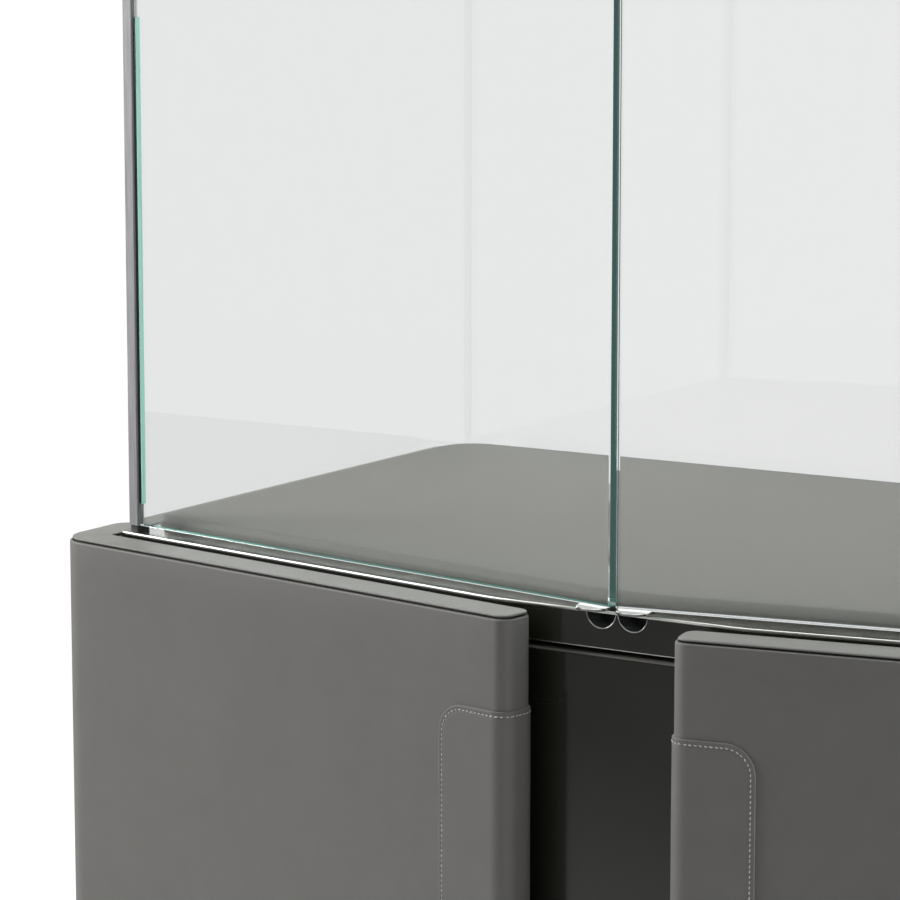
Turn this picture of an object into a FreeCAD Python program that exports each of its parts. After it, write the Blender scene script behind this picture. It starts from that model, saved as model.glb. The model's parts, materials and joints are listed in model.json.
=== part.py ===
import FreeCAD, Part
import math
import os

# Glass display case on a leather-clad cabinet. Millimetres, +Z up, -Y is the front.
# While it is built, Y = 0 runs through the hinge edges of the two glass doors;
# at the end everything moves back so that the origin is under the middle of the part.

# Driving dimensions: plan
glass_half_width = 436.0      # centre to the hinge edge of a glass door
front_angle = 10.0            # degrees that each half of the front turns back
glass_thick = 8.0
glass_depth = 475.0           # hinge edges to the outer face of the back pane
post_play = 1.0               # turning hinge post to side pane
rim_side = 4.0                # rim edge outside the side pane
rim_front = 9.0               # rim edge in front of the door glass
rim_rear = 9.0                # rim edge behind the back pane
rim_overhang = 6.0            # rim edge behind the carcass
rim_flat_half = 90.0          # half width of the flat middle of the front
rim_bend_radius = 120.0
rim_corner_radius = 9.0
back_board_thick = 12.0
clad_thick = 32.0
clad_corner_radius = 25.0

# Driving dimensions: heights
rim_top = 780.0
rim_thick = 2.0
rim_bevel = 0.5
plinth_height = 60.0
glide_height = 5.0
board_thick = 18.0
fascia_height = 23.0
fascia_gap = 3.3              # open shadow gap under the fascia
board_ease = 0.8              # broken edges of the fascia and the centre stile
leather_drop = 3.0            # leather tops below the rim's top face
leather_bottom = 64.0
case_height = 402.5           # rim to the top of the glass roof
roof_gap = 1.5                # door glass to roof
vent_height = 14.5            # open slot between back pane and roof

# Driving dimensions: glass doors
door_lift = 3.6               # door glass above the rim
meeting_gap = 2.0             # between the inner corners of the two doors
glass_bevel = 0.8
post_size = 10.0
post_round = 1.2
notch_depth = 3.0             # recess of the glass edge that holds the gasket
notch_margin_low = 16.4
notch_margin_high = 22.0
spigot_radius = 2.5
running_fit = 0.05
bush_radius = 5.5
upper_bush_radius = 4.4
bush_stretch = 3.5
bush_play = 0.3
tab_radius = 11.5
tab_offset = 12.5             # meeting edge to the middle of a pull tab
tab_thick = 2.0
tab_bevel = 0.4
tab_under = 6.0               # how far a tab reaches back under the glass
cup_radius = 11.1
cup_wall = 0.7
cup_offset = 11.5
cup_drop = 1.0                # centre of the cup's arc below the rim
cup_depth = 15.0

# Driving dimensions: leather doors
leather_gap = 3.5             # carcass to the back of a leather door
leather_thick = 30.0
skin_thick = 3.0
return_end = 40.0             # rear end of the part that wraps round the side
door_opening_half = 60.0      # centre to the free end of a leather door
end_radius_front = 6.0
end_radius_back = 5.0
inner_radius = 4.0
top_strip_thick = 2.0
clad_gap = 3.0                # door return to fixed side cladding
hinge_inset = 90.0            # end hinges from the door's top and bottom
hinge_count = 3
arm_half_width = 5.0
arm_thick = 4.0
arm_root = 12.0               # how far an arm is let into the side board
slot_play = 1.0
slot_half_width = 7.0
pin_radius = 3.0
pin_reach = 20.0
patch_thick = 1.4
patch_width = 56.0
patch_back_width = 14.0
patch_drop = 63.0
patch_height = 320.0
patch_radius = 20.0

# Driving dimensions: inside
pad_side_gap = 6.0            # side pane to deck pad
pad_front_gap = 13.0
pad_back_gap = 27.0
pad_thick = 10.0
pad_edge_radius = 5.0
pad_corner_radius = 35.0
pad_front_radius = 7.0
pad_bow_radius = 260.0
shelf_height = 420.0
shelf_setback = 20.0
shelf_play = 1.0
shelf_pin_radius = 3.0
shelf_pin_reach = 9.0
shelf_pin_inset = 60.0
plinth_inset = 40.0
plinth_wall = 30.0
glide_radius = 13.0
catch_width = 14.0
catch_height = 40.0
catch_thick = 2.5
catch_inset = 11.0            # edge of the flat front to the middle of a catch
catch_drop = 180.0            # rim to the middle of a catch
strike_thick = 1.0

# Worked out from the values above
slope = math.radians(front_angle)
side_pane_out = glass_half_width + post_size
rim_half_width = side_pane_out + rim_side
rim_back = glass_depth + rim_rear
carcass_back = rim_back - rim_overhang
clad_half_width = rim_half_width + clad_thick
rim_low = rim_top - rim_thick
fascia_low = rim_low - fascia_height
floor_top = plinth_height + board_thick
leather_top = rim_top - leather_drop
leather_back = rim_front + leather_gap
leather_front = leather_back + leather_thick
side_inner = rim_half_width + leather_gap
return_thick = clad_half_width - side_inner
end_reach = glass_half_width - door_opening_half + leather_front * math.sin(slope)
free_end = end_reach / math.cos(slope)
catch_place = rim_flat_half - catch_inset
catch_level = rim_top - catch_drop
pivot_x = -(side_inner + return_thick / 2)
pivot_y = return_end - return_thick / 2
roof_low = rim_top + case_height - glass_thick
door_low = rim_top + door_lift
door_high = roof_low - roof_gap
post_x = -post_size / 2
post_y = glass_thick / 2
post_depth = post_y * math.cos(slope) - post_x * math.sin(slope)
side_pane_start = post_depth + post_size * math.sqrt(0.5) + post_play
far = 2000.0

os.makedirs("parts", exist_ok=True)
pieces = {}


def front_y(x, ahead):
    """Y of the line that runs `ahead` in front of the door glass, at x."""
    return -(glass_half_width - abs(x)) * math.tan(slope) - ahead / math.cos(slope)


def along(u, v):
    """Point at u along the left glass door from its hinge edge and v behind its face."""
    x = -glass_half_width + u * math.cos(slope) + v * math.sin(slope)
    y = -u * math.sin(slope) + v * math.cos(slope)
    return x, y


def turned(shape):
    """A shape drawn in the left door's own u, v directions, put in its place."""
    shape.rotate(FreeCAD.Vector(0, 0, 0), FreeCAD.Vector(0, 0, 1), -front_angle)
    shape.translate(FreeCAD.Vector(-glass_half_width, 0, 0))
    return shape


def outline(corners):
    """Closed face from corners (x, y, radius), each rounded by a tangent arc."""
    count = len(corners)
    spans = []
    for i in range(count):
        x, y, radius = corners[i]
        here = FreeCAD.Vector(x, y, 0)
        before = FreeCAD.Vector(corners[i - 1][0], corners[i - 1][1], 0)
        after = FreeCAD.Vector(corners[(i + 1) % count][0], corners[(i + 1) % count][1], 0)
        to_before = (before - here).normalize()
        to_after = (after - here).normalize()
        half = to_before.getAngle(to_after) / 2
        reach = radius / math.tan(half)
        start = here + to_before * reach
        end = here + to_after * reach
        middle = None
        if radius > 0:
            inward = (to_before + to_after).normalize()
            middle = here + inward * (radius / math.sin(half) - radius)
        spans.append((start, middle, end))
    edges = []
    for i in range(count):
        start, middle, end = spans[i]
        if middle is not None:
            edges.append(Part.Arc(start, middle, end).toShape())
        follow = spans[(i + 1) % count][0]
        if end.distanceToPoint(follow) > 1e-6:
            edges.append(Part.LineSegment(end, follow).toShape())
    return Part.Face(Part.Wire(edges))


def prism(corners, low, high):
    face = outline(corners)
    face.translate(FreeCAD.Vector(0, 0, low))
    return face.extrude(FreeCAD.Vector(0, 0, high - low))


def block(x0, x1, y0, y1, z0, z1):
    corner = FreeCAD.Vector(x0, y0, z0)
    return Part.makeBox(x1 - x0, y1 - y0, z1 - z0, corner)


def rod(x, y, low, high, radius):
    return Part.makeCylinder(radius, high - low, FreeCAD.Vector(x, y, low))


def mirrored(shape):
    return shape.mirror(FreeCAD.Vector(0, 0, 0), FreeCAD.Vector(1, 0, 0))


def add(name, shape):
    pieces[name] = shape


def add_pair(name, shape):
    """The left piece and its mirror image on the right."""
    pieces[name + "_left"] = shape
    pieces[name + "_right"] = mirrored(shape)


def bevelled(shape):
    return shape.makeChamfer(glass_bevel, shape.Edges)


def front_edges(shape, front, level):
    """Level edges of a board that lie on its front face."""
    found = []
    for edge in shape.Edges:
        box = edge.BoundBox
        if abs(box.YMax - front) < 0.01 and abs(box.ZMax - level) < 0.01 and box.ZLength < 0.01:
            found.append(edge)
    return found


def deck_corners(inset, back):
    """Outline shared by the rim, boards and plinth, drawn in by inset."""
    half = rim_half_width - inset
    ahead = rim_front - inset
    corner = max(rim_corner_radius - inset, 0)
    flat_y = front_y(rim_flat_half, ahead)
    return [
        (-half, back, 0),
        (-half, front_y(half, ahead), corner),
        (-rim_flat_half, flat_y, rim_bend_radius),
        (rim_flat_half, flat_y, rim_bend_radius),
        (half, front_y(half, ahead), corner),
        (half, back, 0),
    ]


def leather_corners(inset):
    """Plan of a left leather door, front panel and side return, drawn in by inset."""
    outer = -clad_half_width + inset
    inner = -side_inner - inset
    rear = return_end - inset
    bull = return_thick / 2 - inset
    front = leather_front - inset
    back = leather_back + inset
    end = free_end - inset
    end_front = along(end, -front)
    end_back = along(end, -back)
    return [
        (outer, front_y(outer, front), clad_corner_radius - inset),
        (end_front[0], end_front[1], end_radius_front - inset),
        (end_back[0], end_back[1], max(end_radius_back - inset, 0)),
        (inner, front_y(inner, back), inner_radius + inset),
        (inner, rear, bull),
        (outer, rear, bull),
    ]


def hinge_levels():
    first = leather_bottom + hinge_inset
    step = (leather_top - hinge_inset - first) / (hinge_count - 1)
    return [first + step * i for i in range(hinge_count)]


# Plinth, glides and carcass
def make_plinth():
    outer_back = carcass_back - plinth_inset
    outer = prism(deck_corners(plinth_inset, outer_back), glide_height, plinth_height)
    inner_inset = plinth_inset + plinth_wall
    inner = prism(deck_corners(inner_inset, outer_back - plinth_wall), 0, plinth_height)
    add("plinth", outer.cut(inner))
    in_wall = plinth_inset + plinth_wall / 2
    glide_x = rim_half_width - in_wall
    front_place = front_y(glide_x, rim_front - in_wall) + plinth_wall / 2
    back_place = carcass_back - in_wall
    for name, y in (("glide_front", front_place), ("glide_back", back_place)):
        add_pair(name, rod(-glide_x, y, 0, glide_height, glide_radius))


def make_carcass():
    add("base_board", prism(deck_corners(0, carcass_back), plinth_height, floor_top))
    add("top_board", prism(deck_corners(board_thick, carcass_back), fascia_low, rim_low))
    side_front = front_y(rim_half_width, rim_front) + rim_corner_radius
    side = block(-rim_half_width, -rim_half_width + board_thick, side_front, carcass_back,
                 floor_top, fascia_low)
    add_pair("side_board", side.cut(hinge_arms()))
    stile_front = front_y(rim_flat_half, rim_front)
    stile_back = stile_front + board_thick
    stile_top = fascia_low - fascia_gap
    stile = block(-rim_flat_half, rim_flat_half, stile_front, stile_back, floor_top, stile_top)
    add("centre_stile", stile.makeChamfer(board_ease, front_edges(stile, stile_front, stile_top)))
    add("centre_divider", block(-board_thick / 2, board_thick / 2, stile_back, carcass_back,
                                floor_top, fascia_low))
    add("back_board", block(-rim_half_width, rim_half_width, carcass_back,
                            carcass_back + back_board_thick, leather_bottom, leather_top))
    catch = block(-catch_place - catch_width / 2, -catch_place + catch_width / 2,
                  stile_front - catch_thick, stile_front,
                  catch_level - catch_height / 2, catch_level + catch_height / 2)
    add_pair("catch", catch)


def make_shelves():
    low = shelf_height
    x0 = -rim_half_width + board_thick + shelf_play
    x1 = -board_thick / 2 - shelf_play
    y1 = carcass_back - shelf_play
    add_pair("shelf", block(x0, x1, shelf_setback, y1, low, low + board_thick))
    pins = []
    for y in (shelf_setback + shelf_pin_inset, y1 - shelf_pin_inset):
        for x, way in ((x0 - shelf_play, 1), (x1 + shelf_play, -1)):
            start = FreeCAD.Vector(x, y, low - shelf_pin_radius)
            pins.append(Part.makeCylinder(shelf_pin_radius, shelf_pin_reach, start,
                                          FreeCAD.Vector(way, 0, 0)))
    add_pair("shelf_pins", Part.makeCompound(pins))


# Rim, fascia and the finger cups under the pull tabs
def cup_cylinder(radius, depth):
    front = front_y(rim_flat_half, rim_front)
    centre = FreeCAD.Vector(-cup_offset, front, rim_top - cup_drop)
    return Part.makeCylinder(radius, depth, centre, FreeCAD.Vector(0, 1, 0))


def make_rim():
    cups = cup_cylinder(cup_radius, cup_depth)
    cups = cups.fuse(mirrored(cups))
    corners = deck_corners(0, rim_back)
    corners[0] = (-rim_half_width, rim_back, rim_corner_radius)
    corners[-1] = (rim_half_width, rim_back, rim_corner_radius)
    plate = prism(corners, rim_low, rim_top)
    upper = [e for e in plate.Edges if e.BoundBox.ZMin > rim_low]
    add("rim_plate", plate.makeChamfer(rim_bevel, upper).cut(cups))
    band = prism(deck_corners(0, carcass_back), fascia_low, rim_low)
    band = band.cut(prism(deck_corners(board_thick, far), fascia_low, rim_low))
    band = band.cut(block(-far, far, front_y(rim_half_width, rim_front) + board_thick, far,
                          fascia_low, rim_low))
    split = rim_flat_half - board_thick
    middle = block(-split, split, -far, far, fascia_low, rim_low)
    strip = band.common(middle)
    front = front_y(rim_flat_half, rim_front)
    strip = strip.makeChamfer(board_ease, front_edges(strip, front, fascia_low))
    add("fascia_centre", strip.cut(cups))
    side = block(-far, -split, -far, far, fascia_low, rim_low)
    add_pair("fascia", band.common(side))
    shell = cup_cylinder(cup_radius, cup_depth)
    shell = shell.cut(cup_cylinder(cup_radius - cup_wall, cup_depth - cup_wall))
    below = block(-far, far, -far, far, fascia_low, rim_top)
    add_pair("finger_cup", shell.common(below))


# Leather cladding that stays still
def make_cladding():
    corners = [
        (-rim_half_width, return_end + clad_gap, 0),
        (-rim_half_width, carcass_back + back_board_thick, 0),
        (-clad_half_width, carcass_back + back_board_thick, clad_corner_radius),
        (-clad_half_width, return_end + clad_gap, skin_thick),
    ]
    add_pair("side_cladding", prism(corners, leather_bottom, leather_top))


def make_deck_pad():
    side = side_pane_out - glass_thick - pad_side_gap
    ahead = -glass_thick - pad_front_gap
    back = glass_depth - glass_thick - pad_back_gap
    corners = [
        (-side, back, pad_corner_radius),
        (-side, front_y(side, ahead), pad_front_radius),
        (0, front_y(0, ahead), pad_bow_radius),
        (side, front_y(side, ahead), pad_front_radius),
        (side, back, pad_corner_radius),
    ]
    pad = prism(corners, rim_top, rim_top + pad_thick)
    upper = [e for e in pad.Edges if e.BoundBox.ZMin > rim_top + pad_thick / 2]
    add("deck_pad", pad.makeFillet(pad_edge_radius, upper))


# Glass that stays still
def make_case():
    inner_x = side_pane_out - glass_thick
    side = block(-side_pane_out, -inner_x, side_pane_start, glass_depth, rim_top, roof_low)
    add_pair("side_pane", bevelled(side))
    add("back_pane", bevelled(block(-inner_x, inner_x, glass_depth - glass_thick, glass_depth,
                                    rim_top, roof_low - vent_height)))
    roof = prism([(-side_pane_out, glass_depth, 0), (-side_pane_out, front_y(side_pane_out, 0), 0),
                  (0, front_y(0, 0), 0), (side_pane_out, front_y(side_pane_out, 0), 0),
                  (side_pane_out, glass_depth, 0)], roof_low, roof_low + glass_thick)
    add("roof_pane", bevelled(roof))


# Glass doors, drawn in the left door's own directions and then turned into place
def bush_lower():
    """Oval foot that a hinge post turns on; it also reaches under the glass corner."""
    low = rim_top
    high = rim_top + door_lift - bush_play
    body = rod(post_x, post_y, low, high, bush_radius)
    body = body.fuse(rod(post_x + bush_stretch, post_y, low, high, bush_radius))
    link = block(post_x, post_x + bush_stretch, post_y - bush_radius, post_y + bush_radius,
                 low, high)
    body = body.fuse(link).removeSplitter()
    return body.cut(rod(post_x, post_y, low, high, spigot_radius + running_fit))


def bush_upper():
    low = roof_low - door_lift + bush_play
    body = rod(post_x, post_y, low, roof_low, upper_bush_radius)
    return body.cut(rod(post_x, post_y, low, roof_low, spigot_radius + running_fit))


def make_glass_doors():
    post_low = rim_top + door_lift
    post_high = roof_low - door_lift
    add_pair("bush_lower", turned(bush_lower()))
    add_pair("bush_upper", turned(bush_upper()))
    post = block(-post_size, 0, post_y - post_size / 2, post_y + post_size / 2,
                 post_low, post_high)
    upright = [e for e in post.Edges if e.BoundBox.ZLength > post_size]
    post = post.makeFillet(post_round, upright)
    post = post.fuse(rod(post_x, post_y, rim_top + bush_play, post_low, spigot_radius))
    post = post.fuse(rod(post_x, post_y, post_high, roof_low - bush_play, spigot_radius))
    add_pair("hinge_post", turned(post))
    reach = glass_half_width - meeting_gap / 2 - glass_thick * math.sin(slope)
    length = reach / math.cos(slope)
    pane = bevelled(block(0, length, 0, glass_thick, door_low, door_high))
    notch = block(0, notch_depth, 0, glass_thick, door_low + notch_margin_low,
                  door_high - notch_margin_high)
    add_pair("door_pane", turned(pane.cut(notch)))
    add_pair("door_gasket", turned(notch))
    tab_low = door_low - tab_thick
    tab = rod(length - tab_offset, 0, tab_low, door_low, tab_radius)
    tab = tab.cut(block(-far, far, tab_under, far, tab_low, door_low))
    add_pair("pull_tab", turned(tab.makeChamfer(tab_bevel, tab.Edges)))


# Leather doors
def hinge_arms():
    arms = [arm_shape(level) for level in hinge_levels()]
    return Part.makeCompound(arms)


def arm_shape(level):
    low = level - arm_thick / 2
    high = level + arm_thick / 2
    bar = block(pivot_x, -rim_half_width + arm_root, pivot_y - arm_half_width,
                pivot_y + arm_half_width, low, high)
    return bar.fuse(rod(pivot_x, pivot_y, low, high, arm_half_width)).removeSplitter()


def make_hinges():
    for i, level in enumerate(hinge_levels()):
        pin = rod(pivot_x, pivot_y, level - pin_reach, level + pin_reach, pin_radius)
        add_pair("hinge_arm_%d" % (i + 1), arm_shape(level).fuse(pin).removeSplitter())


def hinge_room():
    """Slots and pin holes that a leather door needs round its hinge arms."""
    rooms = []
    for level in hinge_levels():
        low = level - arm_thick / 2 - slot_play
        high = level + arm_thick / 2 + slot_play
        slot = block(pivot_x - slot_half_width, pivot_x + return_thick,
                     pivot_y - slot_half_width, pivot_y + return_thick, low, high)
        hole = rod(pivot_x, pivot_y, level - pin_reach - slot_play,
                   level + pin_reach + slot_play, pin_radius + running_fit)
        rooms.append(slot.fuse(hole))
    return Part.makeCompound(rooms)


def make_leather_doors():
    strip_low = leather_top - top_strip_thick
    full = prism(leather_corners(0), leather_bottom, leather_top)
    core = prism(leather_corners(skin_thick), leather_bottom, strip_low)
    strip = prism(leather_corners(skin_thick), strip_low, leather_top)
    room = hinge_room()
    add_pair("door_core", core.cut(room))
    add_pair("door_leather", full.cut(core).cut(strip).cut(room))
    add_pair("door_top_strip", strip)
    add_pair("handle_patch", handle_patch(full))
    mid = (glass_half_width - catch_place) / math.cos(slope)
    strike = block(mid - catch_width / 2, mid + catch_width / 2, -leather_back,
                   -leather_back + strike_thick, catch_level - catch_height / 2,
                   catch_level + catch_height / 2)
    add_pair("strike_plate", turned(strike))


def handle_patch(full):
    """Thin leather pull that wraps the free end of a left door."""
    high = leather_top - patch_drop
    low = high - patch_height
    wrap = prism(leather_corners(-patch_thick), low, high).cut(full)
    start = free_end - patch_width
    back_start = free_end - patch_back_width
    split_v = -(leather_front + leather_back) / 2
    keep = block(start, far, -far, split_v, low, high)
    keep = keep.fuse(block(back_start, far, split_v, far, low, high))
    for level, way in ((low, 1), (high, -1)):
        centre = FreeCAD.Vector(start + patch_radius, -leather_front - patch_radius,
                                level + way * patch_radius)
        square_low = min(level, level + way * patch_radius)
        square = block(start, start + patch_radius, -leather_front - patch_radius, split_v,
                       square_low, square_low + patch_radius)
        round_end = Part.makeCylinder(patch_radius, far, centre, FreeCAD.Vector(0, 1, 0))
        keep = keep.cut(square.cut(round_end))
    return wrap.common(turned(keep))


make_plinth()
make_carcass()
make_shelves()
make_rim()
make_cladding()
make_deck_pad()
make_case()
make_glass_doors()
make_hinges()
make_leather_doors()

whole = Part.makeCompound(list(pieces.values())).BoundBox
shift = FreeCAD.Vector(0, -(whole.YMin + whole.YMax) / 2, 0)
for name, shape in pieces.items():
    shape.translate(shift)
    shape.exportStep("parts/%s.step" % name)
print("%d pieces, moved by %.3f mm in Y" % (len(pieces), shift.y))
print("leather door hinge axis x %.3f y %.3f" % (pivot_x, pivot_y + shift.y))
post_centre = along(post_x, post_y)
print("glass door hinge axis x %.3f y %.3f" % (post_centre[0], post_centre[1] + shift.y))
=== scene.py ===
import json
import math
import random
import bpy
import bmesh
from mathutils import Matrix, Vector, noise


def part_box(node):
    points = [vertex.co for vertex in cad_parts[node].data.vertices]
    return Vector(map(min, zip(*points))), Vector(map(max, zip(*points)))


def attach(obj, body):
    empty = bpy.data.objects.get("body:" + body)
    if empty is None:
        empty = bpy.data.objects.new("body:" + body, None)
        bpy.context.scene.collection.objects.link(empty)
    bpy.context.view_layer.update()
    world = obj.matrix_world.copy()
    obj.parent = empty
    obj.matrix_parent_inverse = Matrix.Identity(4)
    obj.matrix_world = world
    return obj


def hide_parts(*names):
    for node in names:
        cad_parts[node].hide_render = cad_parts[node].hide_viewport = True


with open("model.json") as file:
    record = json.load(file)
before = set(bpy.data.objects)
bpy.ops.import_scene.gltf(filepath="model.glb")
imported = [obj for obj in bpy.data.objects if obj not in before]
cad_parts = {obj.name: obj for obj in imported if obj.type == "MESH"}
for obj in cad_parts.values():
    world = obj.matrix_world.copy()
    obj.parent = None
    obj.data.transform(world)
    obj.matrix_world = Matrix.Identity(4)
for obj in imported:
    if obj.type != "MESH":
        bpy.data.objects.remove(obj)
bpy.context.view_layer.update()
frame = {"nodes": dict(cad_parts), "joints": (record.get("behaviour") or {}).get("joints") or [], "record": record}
print("frame loaded")


# Plan of the cabinet in metres: the few sizes that both fronts are set out from
plan = {
    "turn": math.radians(10),      # each half of the front turns back by this
    "post": 0.010,
    "glass": 0.008,
    "leatherFront": 0.0425,        # leather face in front of the door glass
    "leatherBack": 0.0125,
    "returnThick": 0.0285,         # leather door where it wraps round the side
    "cornerRadius": 0.025,
    "innerRadius": 0.004,
    "endRadius": 0.010,
    "openingHalf": 0.060,          # centre to the free end of a leather door
}


def jointPlace(name):
    return [j for j in frame["joints"] if j["name"] == name][0]["pos_m"]


glassAxis = jointPlace("left_glass_hinge")
leatherAxis = jointPlace("left_leather_hinge")
cosTurn = math.cos(plan["turn"])
sinTurn = math.sin(plan["turn"])
# hinge edge of the left glass door, worked back from the axis inside its post
edgeX = glassAxis[0] + plan["post"] / 2 * cosTurn - plan["glass"] / 2 * sinTurn
edgeY = glassAxis[1] - plan["post"] / 2 * sinTurn - plan["glass"] / 2 * cosTurn
freeEnd = (-edgeX - plan["openingHalf"] + plan["leatherFront"] * sinTurn) / cosTurn


def alongFront(u, v):  # u from the hinge edge towards the middle, v behind the glass face
    return Vector((edgeX + u * cosTurn + v * sinTurn, edgeY - u * sinTurn + v * cosTurn))


def frontLineY(x, ahead):
    return edgeY - (x - edgeX) * math.tan(plan["turn"]) - ahead / cosTurn


# outlines and shells

def insetCorners(corners, inset):  # moves every side inwards, keeping the corner arcs concentric
    moved = []
    count = len(corners)
    for i in range(count):
        here = Vector(corners[i][:2])
        radius = corners[i][2]
        before = Vector(corners[i - 1][:2])
        after = Vector(corners[(i + 1) % count][:2])
        inWay = (here - before).normalized()
        outWay = (after - here).normalized()
        bend = inWay.x * outWay.y - inWay.y * outWay.x
        normalIn = Vector((-inWay.y, inWay.x))
        normalOut = Vector((-outWay.y, outWay.x))
        middle = (normalIn + normalOut) / (1 + normalIn.dot(normalOut))
        place = here + middle * inset
        newRadius = max(radius - inset, 0.00001) if bend > 0 else radius + inset
        moved.append((place.x, place.y, newRadius))
    return moved


def turned(arm, angle):
    return Vector((arm.x * math.cos(angle) - arm.y * math.sin(angle),
                   arm.x * math.sin(angle) + arm.y * math.cos(angle)))


def cornerArc(before, here, after, radius):  # start, end, centre and sweep of a rounded corner
    toBefore = (before - here).normalized()
    toAfter = (after - here).normalized()
    half = toBefore.angle(toAfter) / 2
    reach = radius / math.tan(half)
    centre = here + (toBefore + toAfter).normalized() * (radius / math.sin(half))
    cross = -toBefore.x * toAfter.y + toBefore.y * toAfter.x
    sweep = math.copysign(math.pi - 2 * half, cross)
    return here + toBefore * reach, here + toAfter * reach, centre, sweep


def outlineRing(corners, arcSteps=8, runSteps=None):  # closed ring of points, anticlockwise
    ring = []
    count = len(corners)
    places = [Vector(corner[:2]) for corner in corners]
    spans = []
    for i in range(count):
        spans.append(cornerArc(places[i - 1], places[i], places[(i + 1) % count], corners[i][2]))
    for i in range(count):
        start, end, centre, sweep = spans[i]
        for k in range(arcSteps + 1):
            ring.append(centre + turned(start - centre, sweep * k / arcSteps))
        follow = spans[(i + 1) % count][0]
        pieces = runSteps[i] if runSteps else 1
        for k in range(1, pieces):
            ring.append(end.lerp(follow, k / pieces))
    return ring


def linkObject(name, data):
    thing = bpy.data.objects.new(name, data)
    bpy.context.scene.collection.objects.link(thing)
    return thing


def addPiece(name, mesh, body, slotName, *finishNames):
    for finishName in finishNames:
        mesh.materials.append(finishes[finishName])
    thing = linkObject(name, mesh)
    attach(thing, body)
    return thing


def finishMesh(bm, name, sharpAngle=40):
    bmesh.ops.remove_doubles(bm, verts=bm.verts, dist=0.000004)
    bmesh.ops.recalc_face_normals(bm, faces=bm.faces)
    mesh = bpy.data.meshes.new(name)
    bm.to_mesh(mesh)
    bm.free()
    mesh.shade_smooth()
    mesh.set_sharp_from_angle(angle=math.radians(sharpAngle))
    return mesh


def joinRings(bm, rings):  # skins a stack of equal rings and closes both ends
    count = len(rings[0])
    for r in range(len(rings) - 1):
        for i in range(count):
            j = (i + 1) % count
            bm.faces.new((rings[r][i], rings[r][j], rings[r + 1][j], rings[r + 1][i]))
    bm.faces.new(rings[0][::-1])
    bm.faces.new(rings[-1])


def shellMesh(name, corners, profile, flip=1, arcSteps=8, runSteps=None):
    # one ring of the outline for each (inset, height) of the profile
    bm = bmesh.new()
    rings = []
    for inset, z in profile:
        ring = outlineRing(insetCorners(corners, inset), arcSteps, runSteps)
        rings.append([bm.verts.new((p.x * flip, p.y, z)) for p in ring])
    joinRings(bm, rings)
    return finishMesh(bm, name)


def cutWith(thing, cutters):  # takes the cutter boxes out of a finished mesh
    for cutter in cutters:
        step = thing.modifiers.new("cut", "BOOLEAN")
        step.operation = "DIFFERENCE"
        step.solver = "EXACT"
        step.object = cutter
    bpy.context.view_layer.update()
    seen = thing.evaluated_get(bpy.context.evaluated_depsgraph_get())
    mesh = bpy.data.meshes.new_from_object(seen)
    thing.modifiers.clear()
    thing.data = mesh
    for cutter in cutters:
        bpy.data.objects.remove(cutter)
    mesh.set_sharp_from_angle(angle=math.radians(40))


# materials

def newMaterial(name):
    made = bpy.data.materials.new(name)
    made.use_nodes = True
    tree = made.node_tree
    shader = tree.nodes["Principled BSDF"]
    return made, tree, shader


def addNode(tree, kind, links=(), **values):
    node = tree.nodes.new(kind)
    for key, value in values.items():
        if hasattr(node, key):
            setattr(node, key, value)
        else:
            node.inputs[key.replace("_", " ")].default_value = value
    for socket, source in links:
        tree.links.new(source, node.inputs[socket])
    return node


def ramp(tree, source, low, high, outLow=0.0, outHigh=1.0):
    node = addNode(tree, "ShaderNodeMapRange", links=[("Value", source)])
    node.inputs["From Min"].default_value = low
    node.inputs["From Max"].default_value = high
    node.inputs["To Min"].default_value = outLow
    node.inputs["To Max"].default_value = outHigh
    return node.outputs["Result"]


def mixColour(tree, factor, first, second):
    node = tree.nodes.new("ShaderNodeMix")
    node.data_type = "RGBA"
    tree.links.new(factor, node.inputs["Factor"])
    for index, value in ((6, first), (7, second)):
        if isinstance(value, (tuple, list)):
            node.inputs[index].default_value = (*value, 1)
        else:
            tree.links.new(value, node.inputs[index])
    return node.outputs[2]


def mathNode(tree, operation, first, second):
    node = tree.nodes.new("ShaderNodeMath")
    node.operation = operation
    for index, value in ((0, first), (1, second)):
        if isinstance(value, (int, float)):
            node.inputs[index].default_value = value
        else:
            tree.links.new(value, node.inputs[index])
    return node.outputs[0]


def objectPlace(tree):
    return addNode(tree, "ShaderNodeTexCoord").outputs["Object"]


def noiseFrom(tree, where, scale, detail, **more):
    return addNode(tree, "ShaderNodeTexNoise", links=[("Vector", where)],
                   Scale=scale, Detail=detail, **more).outputs["Fac"]


def stretched(tree, where, stretch):
    return addNode(tree, "ShaderNodeMapping", links=[("Vector", where)],
                   Scale=stretch).outputs["Vector"]


def addBump(tree, shader, height, strength, distance):
    bump = addNode(tree, "ShaderNodeBump", links=[("Height", height)],
                   Strength=strength, Distance=distance)
    tree.links.new(bump.outputs["Normal"], shader.inputs["Normal"])


leather = {
    "colour": (0.172, 0.168, 0.158),
    "dark": (0.150, 0.146, 0.137),
    # painted light: the caps on top get a paler copy of the leather, for the light falling on top
    "litTopColour": (0.245, 0.239, 0.223),
    "litTopDark": (0.205, 0.200, 0.186),
    "edgeColour": (0.36, 0.35, 0.325),
    "edgeDark": (0.27, 0.262, 0.243),
    "padColour": (0.108, 0.100, 0.089),
    "padDark": (0.096, 0.089, 0.079),
    "pebble": 1500,                # grain cells per metre
    "grainDepth": 0.00010,
    "grainStrength": 0.40,
    "padGrain": 0.22,
    "roughness": 0.52,
    "sheen": 0.05,
}


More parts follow.
